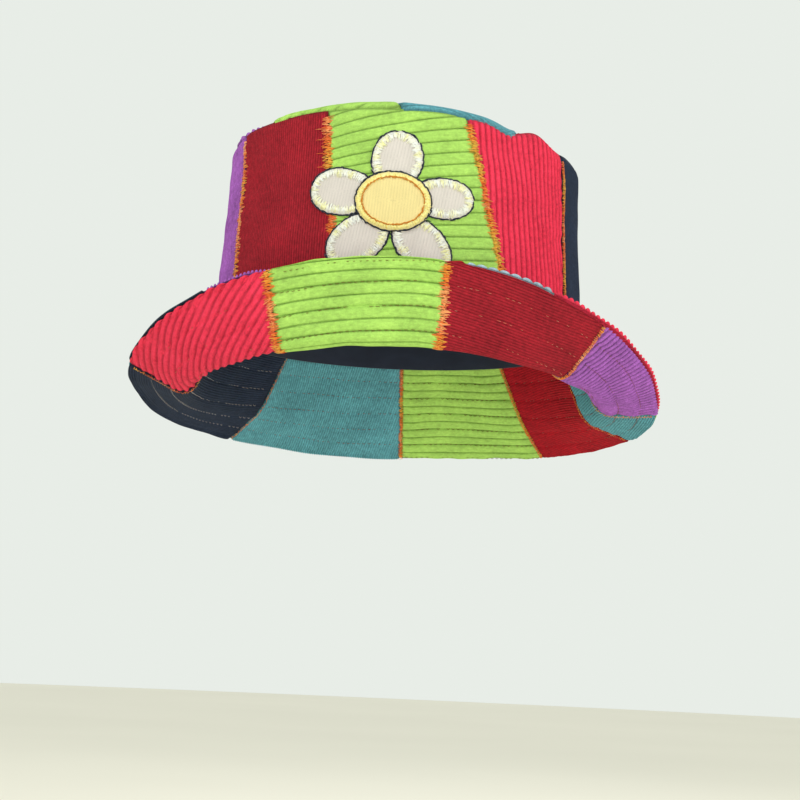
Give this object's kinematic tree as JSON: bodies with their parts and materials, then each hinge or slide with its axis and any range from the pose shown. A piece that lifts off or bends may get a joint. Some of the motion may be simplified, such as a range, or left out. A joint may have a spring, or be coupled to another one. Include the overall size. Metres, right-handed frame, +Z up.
{
  "type": "bucket hat",
  "caption": "Soft patchwork corduroy bucket hat with a turned-up front brim, a lined crown and a sewn-on five-petal daisy.",
  "frame": {"origin": "centre of the head opening, in the plane of the seam where the crown meets the brim", "axes": "+Z up the crown, -Y towards the turned-up front with the daisy, +X to the right of a viewer who faces the front"},
  "size_m": [0.28, 0.276, 0.1617],
  "materials": {
    "corduroy_green": "ribbed cotton corduroy, matt pile",
    "corduroy_maroon": "ribbed cotton corduroy, matt pile",
    "corduroy_pink_red": "ribbed cotton corduroy, matt pile",
    "corduroy_crimson": "ribbed cotton corduroy, matt pile",
    "corduroy_navy": "ribbed cotton corduroy, matt pile",
    "corduroy_purple": "ribbed cotton corduroy, matt pile",
    "corduroy_teal": "ribbed cotton corduroy, matt pile",
    "corduroy_pale_blue": "ribbed cotton corduroy, matt pile",
    "lining_cotton": "plain cotton lining",
    "sweatband_twill": "cotton twill tape",
    "interfacing": "bonded stiffener, hidden in the brim",
    "petal_cotton": "fine corduroy with a satin-stitched edge",
    "flower_centre_cord": "fine corduroy with a satin-stitched edge"
  },
  "bodies": {
    "root": {"crown_side_green_front": "corduroy_green", "crown_side_pink_red_right": "corduroy_pink_red", "crown_side_navy_right": "corduroy_navy", "crown_side_teal_back_right": "corduroy_teal", "crown_side_crimson_back": "corduroy_crimson", "crown_side_green_back_left": "corduroy_green", "crown_side_pink_red_left": "corduroy_pink_red", "crown_side_purple_left": "corduroy_purple", "crown_side_maroon_front_left": "corduroy_maroon", "crown_tip_purple": "corduroy_purple", "crown_tip_green": "corduroy_green", "crown_tip_teal": "corduroy_teal", "crown_tip_crimson": "corduroy_crimson", "crown_tip_navy": "corduroy_navy", "brim_under_green_front": "corduroy_green", "brim_under_maroon_front_right": "corduroy_maroon", "brim_under_purple_right": "corduroy_purple", "brim_under_teal_right": "corduroy_teal", "brim_under_crimson_back_right": "corduroy_crimson", "brim_under_green_back": "corduroy_green", "brim_under_teal_back_left": "corduroy_teal", "brim_under_navy_left": "corduroy_navy", "brim_under_pink_red_front_left": "corduroy_pink_red", "brim_upper_crimson_front": "corduroy_crimson", "brim_upper_pale_blue_front_right": "corduroy_pale_blue", "brim_upper_pink_red_right": "corduroy_pink_red", "brim_upper_green_back_right": "corduroy_green", "brim_upper_navy_back": "corduroy_navy", "brim_upper_maroon_back_left": "corduroy_maroon", "brim_upper_teal_left": "corduroy_teal", "brim_upper_navy_left": "corduroy_navy", "brim_upper_purple_front_left": "corduroy_purple", "brim_interfacing": "interfacing", "crown_lining_side": "lining_cotton", "crown_lining_tip": "lining_cotton", "sweatband": "sweatband_twill", "petal_right": "petal_cotton", "petal_top": "petal_cotton", "petal_left": "petal_cotton", "petal_lower_left": "petal_cotton", "petal_lower_right": "petal_cotton", "flower_centre": "flower_centre_cord"}
  },
  "joints": []
}
